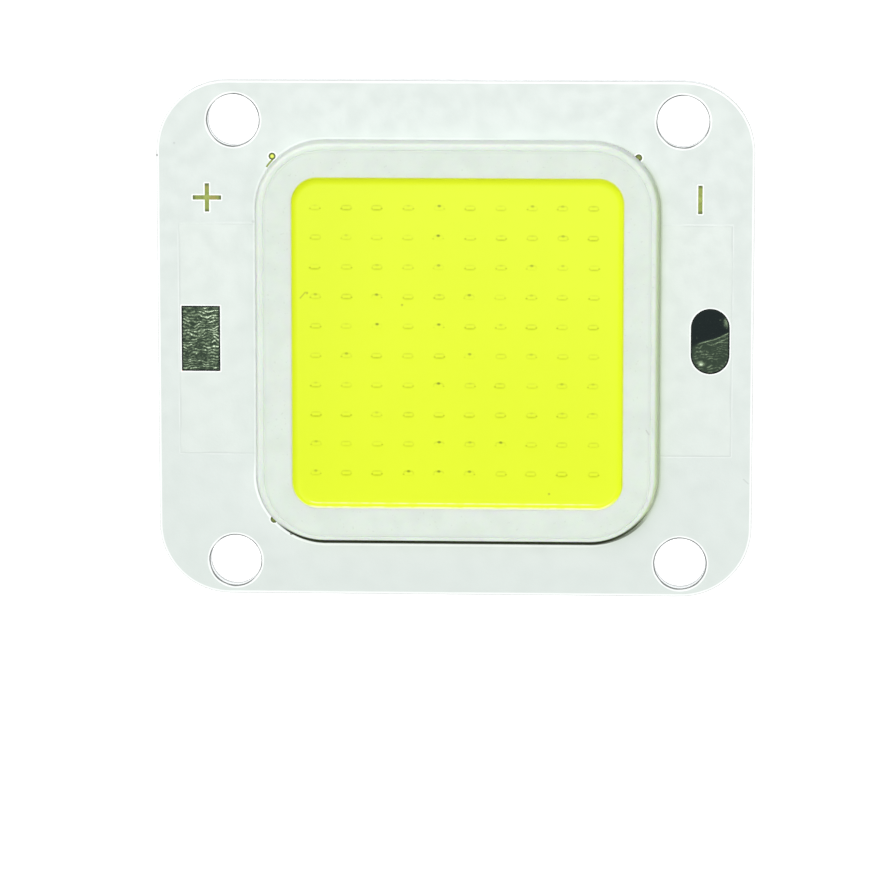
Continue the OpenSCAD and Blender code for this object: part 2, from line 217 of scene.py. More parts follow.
class Graph:
    """Shader nodes under construction. Each method adds nodes and gives back the socket to build on."""

    def __init__(self, owner):
        owner.use_nodes = True
        self.tree = owner.node_tree

    def feed(self, socket, value):
        if isinstance(value, NodeSocket):
            self.tree.links.new(value, socket)
        elif socket.type == "RGBA" and len(value) == 3:
            socket.default_value = (*value, 1)
        else:
            socket.default_value = value

    def node(self, kind, *values, **settings):
        """A new node with its settings, and with values for its first sockets."""
        made = self.tree.nodes.new("ShaderNode" + kind)
        for name, value in settings.items():
            setattr(made, name, value)
        for socket, value in zip(made.inputs, values):
            self.feed(socket, value)
        return made

    def one(self, operation, value):
        """One operation on a single value."""
        return self.node("Math", value, operation=operation).outputs[0]

    def math(self, operation, *values):
        """Joins values from left to right with one operation."""
        total = values[0]
        for value in values[1:]:
            total = self.node("Math", total, value, operation=operation).outputs[0]
        return total

    def add(self, *values):
        return self.math("ADD", *values)

    def less(self, value, taken):
        return self.math("SUBTRACT", value, taken)

    def times(self, *values):
        return self.math("MULTIPLY", *values)

    def greatest(self, *values):
        return self.math("MAXIMUM", *values)

    def least(self, *values):
        return self.math("MINIMUM", *values)

    def rest(self, share):
        """What a share leaves of 1."""
        return self.less(1.0, share)

    def plain(self, value):
        """A number without its sign."""
        return self.one("ABSOLUTE", value)

    def size_of(self, x, y):
        """Length of a flat vector."""
        return self.one("SQRT", self.add(self.times(x, x), self.times(y, y)))

    def smooth(self, value, low, high, start=0.0, end=1.0):
        """Goes smoothly from start to end while value goes from low to high."""
        return self.node("MapRange", value, low, high, start, end, interpolation_type="SMOOTHSTEP").outputs[0]

    def fade(self, value, low, high, start=1.0):
        """Goes smoothly from start to 0 while value goes from low to high."""
        return self.smooth(value, low, high, start, 0.0)

    def past(self, value, low, high, start=0.0, end=1.0):
        """As smooth, with low and high in millimetres."""
        return self.smooth(value, low * MM, high * MM, start, end)

    def near(self, value, low, high, start=1.0):
        """As fade, with low and high in millimetres."""
        return self.fade(value, low * MM, high * MM, start)

    def split(self, vector):
        return self.node("SeparateXYZ", vector).outputs


class Finish(Graph):
    """One material, built on each point's place and on the way it faces."""

    def __init__(self, name):
        self.material = bpy.data.materials.new(name)
        super().__init__(self.material)
        self.tree.nodes.clear()
        coordinates = self.node("TexCoord").outputs
        self.place, self.facing = coordinates["Object"], coordinates["Normal"]
        self.x, self.y, self.z = self.split(self.place)

    def mix(self, amount, first, second):
        """Colour between first and second."""
        node = self.node("Mix", amount, data_type="RGBA")
        self.feed(node.inputs[6], first)
        self.feed(node.inputs[7], second)
        return node.outputs[2]

    def coats(self, tone, *coats):
        """A tone under several coats, each a share and a colour."""
        for amount, coat in coats:
            tone = self.mix(amount, tone, coat)
        return tone

    def noise(self, size, detail=2.0, stretch=(1, 1, 1)):
        """Soft random field from 0 to 1 whose patches are about size across, longer along a stretched axis."""
        scaled = self.node("Mapping", self.place)
        scaled.inputs["Scale"].default_value = [1 / s for s in stretch]
        node = self.node("TexNoise", scaled.outputs[0])
        self.feed(node.inputs["Scale"], 1 / size)
        self.feed(node.inputs["Detail"], detail)
        return node.outputs[0]

    def draw(self, *cell):
        """Three random numbers that are the same all over one cell."""
        place = self.node("CombineXYZ", *cell).outputs[0]
        return self.split(self.node("TexWhiteNoise", place).outputs["Color"])

    def attribute(self, name):
        return self.node("Attribute", attribute_name=name).outputs["Fac"]

    def bump(self, height, distance=0.004 * MM):
        node = self.node("Bump")
        self.feed(node.inputs["Distance"], distance)
        self.feed(node.inputs["Height"], height)
        return node.outputs[0]

    def disc(self, x, y, centre, radius):
        """Distance outside a circle, negative inside."""
        from_x = self.less(x, centre[0])
        from_y = self.less(y, centre[1])
        return self.less(self.size_of(from_x, from_y), radius)

    def slab(self, x, y, centre, half, radius=0.0):
        """Distance outside a rectangle with round corners, negative inside: the length of what reaches past the
        corner's middle, or the lesser depth inside, less the corner radius."""
        over = []
        for value, middle, size in zip((x, y), centre, half):
            across = self.plain(self.less(value, middle))
            over.append(self.less(across, size - radius))
        outside = self.size_of(*(self.greatest(o, 0.0) for o in over))
        inside = self.least(self.greatest(*over), 0.0)
        return self.less(self.add(outside, inside), radius)

    def spots(self, *spots):
        """Distance outside the nearest of several spots, each an x, a y and a radius in millimetres."""
        return self.least(*(self.disc(self.x, self.y, (x * MM, y * MM), r * MM) for x, y, r in spots))

    def scratch(self, x, y, turn, half, half_width=0.01):
        """Distance outside a fine scratch: its middle and half size in millimetres, and its turn from X in degrees."""
        cos, sin = math.cos(math.radians(turn)), math.sin(math.radians(turn))
        from_x, from_y = self.less(self.x, x * MM), self.less(self.y, y * MM)
        along = self.add(self.times(from_x, cos), self.times(from_y, sin))
        across = self.add(self.times(from_y, cos), self.times(from_x, -sin))
        return self.slab(along, across, (0, 0), (half * MM, half_width * MM))

    def surface(self, **inputs):
        """Ends the material in a Principled shader and gives the material back."""
        shader = self.node("BsdfPrincipled")
        for name, value in inputs.items():
            self.feed(shader.inputs[name.replace("_", " ")], value)
        self.node("OutputMaterial", shader.outputs[0])
        return self.material


def finish_nodes(material, *names):
    """Gives CAD nodes a material and leaves their meshes as they are."""
    for name in names:
        for slot in NODES[name].material_slots:
            slot.material = material


def middle_and_half(name):
    """Middle and half size of a CAD node, seen from above."""
    low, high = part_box(name)
    return (low + high).xy / 2, (high - low).xy / 2


# ---------- surfaces worked out with numpy ----------


def bend_to_corners(x, y, half_x, half_y, radius):
    """Bends a rectangular grid so that its rings follow a rectangle with round corners.

    A point's ring is its depth from the wall, and the ring's corner radius is the wall's less that depth. Beside the
    straight part of a side a point stays where it is. Past it, the way it has gone towards the corner becomes an
    angle of up to 45 degrees about the corner's middle. Returns the new x and y, the depth and the angle."""
    depth_x, depth_y = half_x - abs(x), half_y - abs(y)
    depth = np.minimum(depth_x, depth_y)
    ring_r = np.maximum(radius - depth, 0)
    corner_x, corner_y = half_x - depth - ring_r, half_y - depth - ring_r
    least = 1e-9
    past_x = np.clip((abs(x) - corner_x) / np.maximum(ring_r, least), 0, 1)
    past_y = np.clip((abs(y) - corner_y) / np.maximum(ring_r, least), 0, 1)
    angle = np.where(depth_x < depth_y, past_y, 2 - past_x) * math.pi / 4
    bent_x = np.minimum(abs(x), corner_x) + ring_r * np.cos(angle)
    bent_y = np.minimum(abs(y), corner_y) + ring_r * np.sin(angle)
    return np.sign(x) * bent_x, np.sign(y) * bent_y, depth, angle


def grid_faces(rows, columns):
    """Corner numbers of the quads of a grid whose points are stored row by row, facing up."""
    number = np.arange(rows * columns).reshape(rows, columns)
    return np.stack([number[:-1, :-1], number[1:, :-1], number[1:, 1:], number[:-1, 1:]], -1).reshape(-1, 4)


def border_of(rows, columns):
    """Point numbers round a grid's border, counter-clockwise seen from above."""
    number = np.arange(rows * columns).reshape(rows, columns)
    return np.concatenate([number[:-1, 0], number[-1, :-1], number[:0:-1, -1], number[0, :0:-1]])


def skirt_faces(upper, lower):
    """Quads between two closed rings of points, facing outwards when both run counter-clockwise."""
    return np.stack([upper, lower, np.roll(lower, -1), np.roll(upper, -1)], -1)


def make_piece(name, points, quads, cap, material, attributes, body="root"):
    """A smooth closed mesh from points, quads and one flat cap below, with a number per point in each attribute."""
    mesh = bpy.data.meshes.new(name)
    sizes = np.concatenate([np.full(len(quads), 4), [len(cap)]])
    loops = np.concatenate([quads.ravel(), cap])
    mesh.vertices.add(len(points))
    mesh.vertices.foreach_set("co", points.astype(np.float32).ravel())
    mesh.loops.add(len(loops))
    mesh.loops.foreach_set("vertex_index", loops.astype(np.int32))
    mesh.polygons.add(len(sizes))
    starts = np.concatenate([[0], np.cumsum(sizes)[:-1]])
    mesh.polygons.foreach_set("loop_start", starts.astype(np.int32))
    mesh.polygons.foreach_set("use_smooth", np.ones(len(sizes), bool))
    for key, values in attributes.items():
        layer = mesh.attributes.new(key, "FLOAT", "POINT")
        layer.data.foreach_set("value", values.astype(np.float32).ravel())
    mesh.update(calc_edges=True)
    mesh.validate()
    mesh.materials.append(material)
    piece = bpy.data.objects.new(name, mesh)
    bpy.context.scene.collection.objects.link(piece)
    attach(piece, body)
    return piece


def soft_field(rng, u, v, cells_u, cells_v):
    """Smooth random field from 0 to 1: random values on a coarse lattice, joined by smoothstep weights."""
    lattice = rng.random((cells_u + 2, cells_v + 2))
    place_u, place_v = u * cells_u, v * cells_v
    i, j = np.floor(place_u).astype(int), np.floor(place_v).astype(int)
    part_u, part_v = place_u - i, place_v - j
    s, t = part_u * part_u * (3 - 2 * part_u), part_v * part_v * (3 - 2 * part_v)
    low = lattice[i, j] * (1 - s) + lattice[i + 1, j] * s
    high = lattice[i, j + 1] * (1 - s) + lattice[i + 1, j + 1] * s
    return low * (1 - t) + high * t


# ---------- board ----------


def hole_edges(f):
    """Distance from the nearest of the four screw holes, whose places come from the part's own mount."""
    mount = next(m for m in frame["record"]["mounts"] if m["kind"] == "bolt_pattern")
    sizes = mount["dims"]
    across = f.plain(f.less(f.x, mount["pos_m"][0]))
    up = f.plain(f.less(f.y, mount["pos_m"][1]))
    centre = (sizes["spacing_x_mm"] * MM / 2, sizes["spacing_y_mm"] * MM / 2)
    return f.disc(across, up, centre, sizes["hole_r_mm"] * MM)


def edge_dirt(f, looks, tone):
    """The tone with a dark speck of dirt on the board's left edge."""
    speck = f.spots((-23.03, 14.27, 0.08))
    return f.mix(f.near(speck, -0.02, 0.03, 0.85), tone, darker(looks.cut_edge_and_shade, 0.05))


def mask_finish(looks, dam_r):
    """White solder mask: a faint cloud of tone, a paler rim round each opening, the step over the copper's edge, a few
    nicks, and a fine orange peel. Light and shade beside the dam's foot are painted into its tone: a bright line along
    the foot and a pale band in front, painted shade at the left and back, painted shade tinted green at the right, and
    a dark painted shadow line under the front edge."""
    f = Finish("white_mask")
    edge = [f.less(hole_edges(f), looks.bare)]
    middle, half = middle_and_half("solder_mask")
    edge.append(f.times(f.slab(f.x, f.y, middle, half, looks.outline_r), -1.0))
    across, up = f.plain(f.x), f.plain(f.y)
    covered = f.past(f.less(f.x, f.y), 24, 26, 0.0, 1 * MM)
    edge.append(f.add(f.disc(across, up, (looks.dot_x, looks.dot_y), looks.dot_r), covered))
    for name, round_share in (("positive_pad", 0.0), ("negative_pad", 1.0), ("minus_mark", 0.0)):
        middle, half = middle_and_half(name)
        edge.append(f.slab(f.x, f.y, middle, half, round_share * half.x))
    middle, half = middle_and_half("plus_mark")
    thin = middle_and_half("minus_mark")[1].x
    edge.append(f.slab(f.x, f.y, middle, (half.x, thin)))
    edge.append(f.slab(f.x, f.y, middle, (thin, half.y)))
    rim = f.fade(f.least(*edge), looks.bead * 0.4, looks.bead)
    half_bus = 9 * MM
    copper = []
    for name in ("positive_bus", "negative_bus"):
        middle, half = middle_and_half(name)
        copper.append(f.slab(f.x, f.y, middle, (half.x, half_bus)))
    from_copper = f.least(*copper)
    over_copper = f.near(from_copper, -0.03, 0.03)
    patchy = f.smooth(f.noise(3 * MM, 1.0), 0.35, 0.6)
    step_dark = f.plain(f.add(from_copper, 0.06 * MM))
    step_light = f.plain(f.add(from_copper, -0.07 * MM))
    from_dam = f.slab(f.x, f.y, *middle_and_half("dam_frame"), dam_r)
    # Painted shade on the mask beside the dam's left and back, in the scuff colour.
    to_left = f.past(f.less(f.y, f.x), -6, 6)
    beside = f.past(f.less(across, up), 0, 3, 0.5, 1.0)
    shaded = f.times(f.near(from_dam, 0, 2.4, 0.6), to_left, beside)
    to_right = f.past(f.add(f.x, f.times(f.y, 0.3)), 5, 11)
    away = f.rest(to_left)
    front = f.near(f.add(f.y, f.times(f.x, 0.2)), -15, -12)
    # Painted light: a bright line along the dam's foot, strongest at the front and none at the right, and a pale band
    # in front of the dam, in the mask edge colour.
    from_line = f.plain(f.less(from_dam, f.add(0.09 * MM, f.times(front, 0.08 * MM))))
    lit = f.times(f.near(from_line, 0.04, 0.13, 0.85), f.add(0.3, f.times(front, 0.7)))
    lit = f.greatest(lit, f.times(f.near(from_dam, 0, 3, 0.16), front))
    lit = f.times(lit, f.rest(to_right))
    # Painted shade tinted green on the mask at the dam's right foot.
    green_shade = f.add(f.near(from_dam, 0.06, 0.18, 0.45), f.near(from_dam, 0, 0.6, 0.35))
    green_shade = f.times(green_shade, away, to_right)
    # Painted shadow: a dark line on the mask under the dam's front edge, tinted green towards the right. A small spot
    # at the dam's bottom-left foot takes the same colour.
    below = f.near(f.add(f.y, f.times(f.x, 0.12)), -13.5, -11.5)
    below = f.times(below, f.past(f.x, -13.5, -10, 0.35, 1.0))
    under = f.less(from_dam, f.times(to_right, 0.12 * MM))
    under = f.times(f.near(under, 0.03, 0.09, 0.92), below)
    nicks = f.least(f.spots((-21.71, 15.21, 0.05), (-15.64, 9.14, 0.06)), f.scratch(22.61, -10.95, -43, 0.26))
    bit = f.spots((-12.78, -15.33, 0.1))
    foot_shadow_tone = f.mix(f.times(to_right, 0.14), looks.under, looks.green_shade)
    cloud = f.noise(6 * MM, 3.0)
    tone = f.coats(
        looks.mask,
        (over_copper, looks.mask_over_copper),
        (f.smooth(cloud, 0.55, 0.8, 0.0, 0.25), looks.scuff),
        (f.times(f.near(step_dark, 0, 0.09, 0.6), patchy), looks.scuff),
        (f.times(f.near(step_light, 0, 0.08, 0.35), patchy), looks.mask_edge),
        # painted shade beside the dam's left and back
        (shaded, looks.scuff),
        # painted light beside the dam's foot
        (lit, looks.mask_edge),
        # painted shade tinted green at the dam's right foot
        (green_shade, looks.green_shade),
        # painted shadow line under the dam's front edge, and the small spot
        (f.greatest(under, f.near(bit, 0, 0.06, 0.7)), foot_shadow_tone),
        (f.near(nicks, 0, 0.08, 0.4), darker(looks.scuff, 0.7)),
    )
    tone = edge_dirt(f, looks, tone)
    tone = f.mix(rim, tone, looks.mask_edge)
    peel = f.noise(0.22 * MM)
    rough = f.smooth(f.noise(1.5 * MM), 0.3, 0.7, 0.34, 0.44)
    return f.surface(
        Base_Color=tone, Roughness=rough, Normal=f.bump(f.add(peel, f.times(over_copper, 2.0)))
    )


def laminate_finish(looks):
    """Glass laminate: whitish, with short glass fibres lying along the board, and a dark line round the holes and the
    outline: partly the darker cut edge, partly painted shade of the edge's wall.
    """
    f = Finish("laminate")
    fibre = f.noise(0.05 * MM, stretch=(6, 1, 1))
    tone = f.mix(f.times(fibre, 0.5), looks.laminate, darker(looks.laminate, 0.85))
    uneven = f.smooth(f.noise(1.6 * MM, 1.0), 0.3, 0.7, -0.03 * MM, 0.03 * MM)
    # Dark line round each screw hole: partly the darker cut edge, partly painted shade of the hole's wall.
    tone = f.mix(f.near(f.add(hole_edges(f), uneven), 0.03, 0.09), tone, looks.cut_edge_and_shade)
    middle, half = middle_and_half("laminate")
    corner_r = 5.5 * MM
    outline = f.times(f.slab(f.x, f.y, middle, half, corner_r), -1.0)
    # Dark line along the outline: partly the darker cut edge, partly painted shade of the board's side.
    tone = f.mix(f.near(outline, 0.01, 0.05, 0.5), tone, looks.cut_edge_and_shade)
    tone = edge_dirt(f, looks, tone)
    return f.surface(Base_Color=tone, Roughness=0.6, Normal=f.bump(fibre, 0.006 * MM))


def grainy_finish(name, tone, grain, dark, rough):
    """Resin or glue with a fine grain in its tone and its surface. dark is the share of light left in the grain."""
    f = Finish(name)
    field = f.noise(grain)
    shade = f.mix(field, tone, darker(tone, dark))
    return f.surface(Base_Color=shade, Roughness=rough, Normal=f.bump(field))


def plate_finish(looks):
    """Rolled aluminium: fine lines along X on the faces. On the punched edge the upper part is bright and the lower
    part grey and streaked, where the metal tore."""
    f = Finish("aluminium_plate")
    lines = f.noise(looks.grain, 3.0, stretch=(60, 1, 1))
    patches = f.noise(5 * MM)
    tone = f.mix(f.smooth(lines, 0.3, 0.7, 0.0, 0.5), looks.plate, darker(looks.plate, 0.82))
    streaks = f.noise(0.12 * MM, stretch=(1, 1, 8))
    level = f.add(f.z, f.times(f.less(streaks, 0.5), 0.25 * MM))
    torn = f.times(f.past(level, 0.45, 0.62, 0.62, 0.12), f.past(f.z, 0.01, 0.02))
    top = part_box("base_plate")[1].z
    torn = f.times(torn, f.fade(f.z, top - 0.02 * MM, top))
    tone = f.mix(torn, tone, looks.cut_edge_and_shade)
    rough = f.smooth(f.add(lines, f.times(patches, 0.6)), 0.5, 1.1, 0.3, 0.46)
    return f.surface(Base_Color=tone, Metallic=1.0, Roughness=rough, Normal=f.bump(lines))


class COB_OT_board(Operator):
    """Finishes the plate, the bond film, the laminate and the white mask"""

    bl_idname = "cob.board"
    bl_label = "Board"

    def execute(self, context):
        looks = context.scene.cob_board
        finish_nodes(mask_finish(looks, context.scene.cob_dam.outer_r), "solder_mask")
        finish_nodes(laminate_finish(looks), "laminate")
        finish_nodes(grainy_finish("bond_film", looks.film, 0.08 * MM, 0.85, 0.5), "bond_film")
        finish_nodes(plate_finish(looks), "base_plate")
        return {"FINISHED"}


# ---------- copper and marks ----------


def metal_finish(name, tone, rough, grain):
    """Plain metal with a fine grain in its tone, its gloss and its surface."""
    f = Finish(name)
    field = f.noise(grain, 3.0)
    shade = f.mix(f.smooth(field, 0.3, 0.7), tone, darker(tone, 0.8))
    gloss = f.smooth(field, 0.3, 0.7, rough, rough + 0.12)
    return f.surface(Base_Color=shade, Metallic=1.0, Roughness=gloss, Normal=f.bump(field, grain * 0.03))


def mark_finish(name, looks):
    """Tarnished copper of one mark: olive gold, paler in the middle of a stroke and dark towards its ends."""
    f = Finish(name)
    middle, half = middle_and_half(name)
    reach = max(half)
    away = f.greatest(f.plain(f.less(f.x, middle.x)), f.plain(f.less(f.y, middle.y)))
    field = f.noise(0.25 * MM, 3.0)
    warm_share = 0.5 if name == "plus_mark" else 0.1
    tone = f.coats(
        looks.tarnish,
        (f.near(away, 0, 0.35, 0.7), looks.tarnish_pale),
        (f.smooth(field, 0.45, 0.7, 0.0, 0.4), looks.tarnish_dark),
        (f.smooth(f.noise(0.7 * MM, 1.0), 0.5, 0.7, 0.0, warm_share), looks.tarnish_warm),
        (f.smooth(away, reach - 0.3 * MM, reach - 0.06 * MM), looks.tarnish_dark),
    )
    return f.surface(Base_Color=tone, Metallic=0.3, Roughness=0.45, Normal=f.bump(field))


def dot_finish(looks, centre, radius):
    """Placing marks: olive arcs, and dots with a pale middle inside a dark ring."""
    f = Finish("corner_marks")
    away = f.disc(f.plain(f.x), f.plain(f.y), centre, 0.0)
    field = f.noise(0.12 * MM)
    tone = f.mix(f.smooth(away, radius, radius + 0.03 * MM), looks.tarnish_dark, looks.tarnish)
    whole = f.past(f.less(f.y, f.x), 5, 15, 0.15, 1.0)
    tone = f.mix(f.times(f.fade(away, 0.35 * radius, 0.62 * radius), whole), tone, looks.dot)
    return f.surface(Base_Color=tone, Metallic=0.3, Roughness=0.45, Normal=f.bump(field))


class COB_OT_metal(Operator):
    """Finishes the copper areas and the bare marks"""

    bl_idname = "cob.metal"
    bl_label = "Copper and marks"

    def execute(self, context):
        looks = context.scene.cob_metal
        finish_nodes(metal_finish("copper_foil", looks.foil, 0.35, 0.3 * MM), "positive_bus", "negative_bus")
        for name in ("plus_mark", "minus_mark"):
            finish_nodes(mark_finish(name, looks), name)
        board = context.scene.cob_board
        finish_nodes(dot_finish(looks, (board.dot_x, board.dot_y), board.dot_r), "corner_marks")
        return {"FINISHED"}


# ---------- dam ----------


def wet_rim(f):
    """Distance outwards from the edge of the silicone as it is seen: it wets the brim a little at the back and at the
    two sides, and thins out before the wall at the front."""
    middle, half = middle_and_half("phosphor_fill")
    centre = (middle.x + 0.035 * MM, middle.y + 0.106 * MM)
    return f.slab(f.x, f.y, centre, (half.x + 0.098 * MM, half.y + 0.043 * MM), 2.05 * MM)


def dam_finish(looks):
    """Moulded white plastic: light soaks in a little, and the tone is faintly clouded and specked. Light and shade are
    painted on the outer wall: lighter where it faces the back and the left, painted shade tinted olive where it faces
    the right and the front, and a dark painted shade over its upper part at the front, turning olive towards the
    right. A painted shade line follows the moulded line.
    """
    f = Finish("dam_plastic")
    cloud = f.noise(looks.mottle, 3.0)
    grain = f.noise(0.12 * MM)
    speck = f.smooth(f.noise(0.25 * MM, 1.0), 0.68, 0.76, 0.0, 0.12)
    scuff = display(150, 156, 140)
    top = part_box("dam_frame")[1].z
    from_edge = f.slab(f.x, f.y, *middle_and_half("dam_frame"), looks.outer_r)
    groove = f.plain(f.add(from_edge, looks.groove))
    under_top = f.less(top, f.z)
    wall = f.times(f.past(from_edge, -0.52, -0.4), f.past(under_top, 0.001, 0.01))
    along, up, _ = f.split(f.facing)
    sideways = f.greatest(f.times(along, 0.6), f.times(along, -1.2))
    to_front = f.less(f.times(up, -1.6), sideways)
    to_side = f.less(along, up)
    # The dark painted shade of the front wall, turning olive towards the right.
    dark = f.mix(f.smooth(along, 0.1, 0.7, 0.0, 0.2), looks.dark, looks.olive)
    tone = f.coats(
        looks.plastic,
        (f.smooth(cloud, 0.35, 0.7), darker(looks.plastic, 0.96)),
        (speck, scuff),
        # Painted shade along the moulded line.
        (f.near(groove, 0, 0.2, 0.8), darker(looks.plastic, 0.93)),
        # Painted light on the outer wall where it faces the back and the left.
        (f.times(wall, f.fade(to_side, -0.6, -0.2, 0.45)), display(244, 252, 242)),
        # Painted shade tinted olive on the outer wall where it faces the right and the front.
        (f.times(wall, f.smooth(to_side, 0.2, 0.75)), looks.olive),
        # Dark painted shade over the upper part of the outer wall where it faces the front.
        (f.times(wall, f.near(under_top, 0.22, 0.5), f.smooth(to_front, 0.1, 0.5)), dark),
        (f.near(f.scratch(14.96, -6.93, -58, 0.2), 0, 0.08, 0.3), scuff),
        (f.near(wet_rim(f), -0.11, 0.03), looks.wet),
    )
    return f.surface(
        Base_Color=tone,
        Roughness=0.5,
        Specular_IOR_Level=0.12,
        Subsurface_Weight=1.0,
        Subsurface_Radius=(0.7, 0.85, 0.55),
        Subsurface_Scale=looks.depth,
        Normal=f.bump(f.add(grain, cloud)),
    )


class COB_OT_dam(Operator):
    """Finishes the moulded dam and its glue line"""

    bl_idname = "cob.dam"
    bl_label = "Dam frame"

    def execute(self, context):
        looks = context.scene.cob_dam
        finish_nodes(dam_finish(looks), "dam_frame")
        finish_nodes(grainy_finish("frame_glue", looks.glue, 0.2 * MM, 0.8, 0.3), "frame_glue")
        return {"FINISHED"}


# ---------- phosphor silicone ----------


class ChipGrid:
    """Where the chips are, from their CAD nodes: the first column and row, and the distances between them."""

    def __init__(self):
        low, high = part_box("chip_row_1")
        chip_l = 0.76 * MM
        self.count = 10
        self.x = low.x + chip_l / 2
        self.step_x = (high.x - low.x - chip_l) / (self.count - 1)
        self.y = middle_and_half(f"chip_row_{self.count}")[0].y
        self.step_y = (middle_and_half("chip_row_1")[0].y - self.y) / (self.count - 1)


def free_surface(looks, chips, x, y, depth, level):
    """Height of the silicone's free surface.

    A level plane, with a low smooth mound over each chip, slow waves that die out towards the wall, and an edge that
    turns up: its height grows with the power 2.4 of the way from the meniscus's start to the wall."""
    column = np.clip(np.round((x - chips.x) / chips.step_x), 0, chips.count - 1)
    row = np.clip(np.round((y - chips.y) / chips.step_y), 0, chips.count - 1)
    mound_l, mound_w, calm_w = 0.5 * MM, 0.3 * MM, 1.5 * MM
    from_x = (x - chips.x - column * chips.step_x) / mound_l
    from_y = (y - chips.y - row * chips.step_y) / mound_w
    mound = looks.mound * np.exp(-(from_x**2) - from_y**2)
    calm = np.clip((depth - looks.meniscus_w) / calm_w, 0, 1)
    wave = np.sin(x / (2.9 * MM) + 0.7) * np.sin(y / (3.7 * MM) - 0.4) + 0.6 * np.sin((x + 1.7 * y) / (5.3 * MM))
    rise = np.clip(1 - depth / looks.meniscus_w, 0, 1)
    return level + mound + looks.wave * wave * calm * 0.5 + looks.meniscus_h * rise**2.4


def graded_lines(half, step, edge, edge_lines):
    """Places of the grid lines across a surface: even in the middle, and closer over the last edge at each end, where
    their distance from the wall falls as the square of their number."""
    inner = half - edge
    count = 2 * round(inner / step) + 1
    outer = half - edge * np.linspace(1, 0, edge_lines + 1)[1:] ** 1.3
    return np.concatenate([-outer[::-1], np.linspace(-inner, inner, count), outer])


def foot_ring(flat_x, flat_y, angle, half, corner_r, ring):
    """One ring of the silicone's foot. A point keeps its share of the straight run along its side, or its angle about
    the corner, on a rectangle of another size, corner radius, middle and height."""
    (centre_x, centre_y), (half_x, half_y), radius, height = ring
    run_x = np.clip(abs(flat_x) / (half[0] - corner_r), 0, 1)
    run_y = np.clip(abs(flat_y) / (half[1] - corner_r), 0, 1)
    x = centre_x + np.sign(flat_x) * (run_x * (half_x - radius) + radius * np.cos(angle))
    y = centre_y + np.sign(flat_y) * (run_y * (half_y - radius) + radius * np.sin(angle))
    return np.stack([x, y, np.full(len(x), height)], -1)


def gel_piece(looks, material):
    """The silicone as one closed piece: its free surface, its wall against the dam, and its stepped foot over the
    mask and through the window in the laminate down to the plate."""
    low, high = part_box("phosphor_fill")
    middle, half = middle_and_half("phosphor_fill")
    level = high.z - looks.meniscus_h
    lines = [graded_lines(h, looks.grid_step, looks.meniscus_w, 10) for h in half]
    x, y = np.meshgrid(*lines, indexing="ij")
    bent_x, bent_y, depth, angle = bend_to_corners(x, y, half.x, half.y, looks.corner_r)
    bent_x, bent_y = bent_x + middle.x, bent_y + middle.y
    z = free_surface(looks, ChipGrid(), bent_x, bent_y, depth, level)
    top = np.stack([bent_x, bent_y, z], -1).reshape(-1, 3)
    rows, columns = x.shape
    border = border_of(rows, columns)
    mask_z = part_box("solder_mask")[1].z
    copper_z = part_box("positive_bus")[0].z
    dam_foot_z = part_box("dam_frame")[0].z
    lean, mask_step, window_step = 0.124 * MM, 0.35 * MM, 0.5 * MM
    foot_r, mask_r, window_r = looks.corner_r - lean, 1.7 * MM, 1.2 * MM
    foot = tuple(h - lean for h in half)
    mask_edge = tuple(h - mask_step for h in foot)
    window = tuple(h - window_step for h in mask_edge)
    steps = (
        (middle, foot, foot_r, dam_foot_z),
        (middle, foot, foot_r, mask_z),
        ((0, 0), mask_edge, mask_r, mask_z),
        ((0, 0), mask_edge, mask_r, copper_z),
        ((0, 0), window, window_r, copper_z),
        ((0, 0), window, window_r, low.z),
    )
    flat = [values.ravel()[border] for values in (x, y, angle)]
    rings = [foot_ring(*flat, half, looks.corner_r, ring) for ring in steps]
    first = rows * columns
    numbers = [border] + [first + k * len(border) + np.arange(len(border)) for k in range(len(steps))]
    quads = [grid_faces(rows, columns)] + [skirt_faces(a, b) for a, b in zip(numbers, numbers[1:])]
    points = np.concatenate([top, *rings])
    thin = np.concatenate([np.clip(1 - depth.ravel() / looks.thin_w, 0, 1), np.zeros(len(points) - first)])
    bottom = numbers[-1][::-1]
    return make_piece("phosphor_gel", points, np.concatenate(quads), bottom, material, {"thin": thin})


def spot(f, local, centre, size, share):
    """Soft round spot, wider than high, with its own random share."""
    flattened = f.times(f.less(local[1], centre[1]), 1.4)
    away = f.size_of(f.less(local[0], centre[0]), flattened)
    return f.times(f.fade(away, 0.25 * size, size), share)


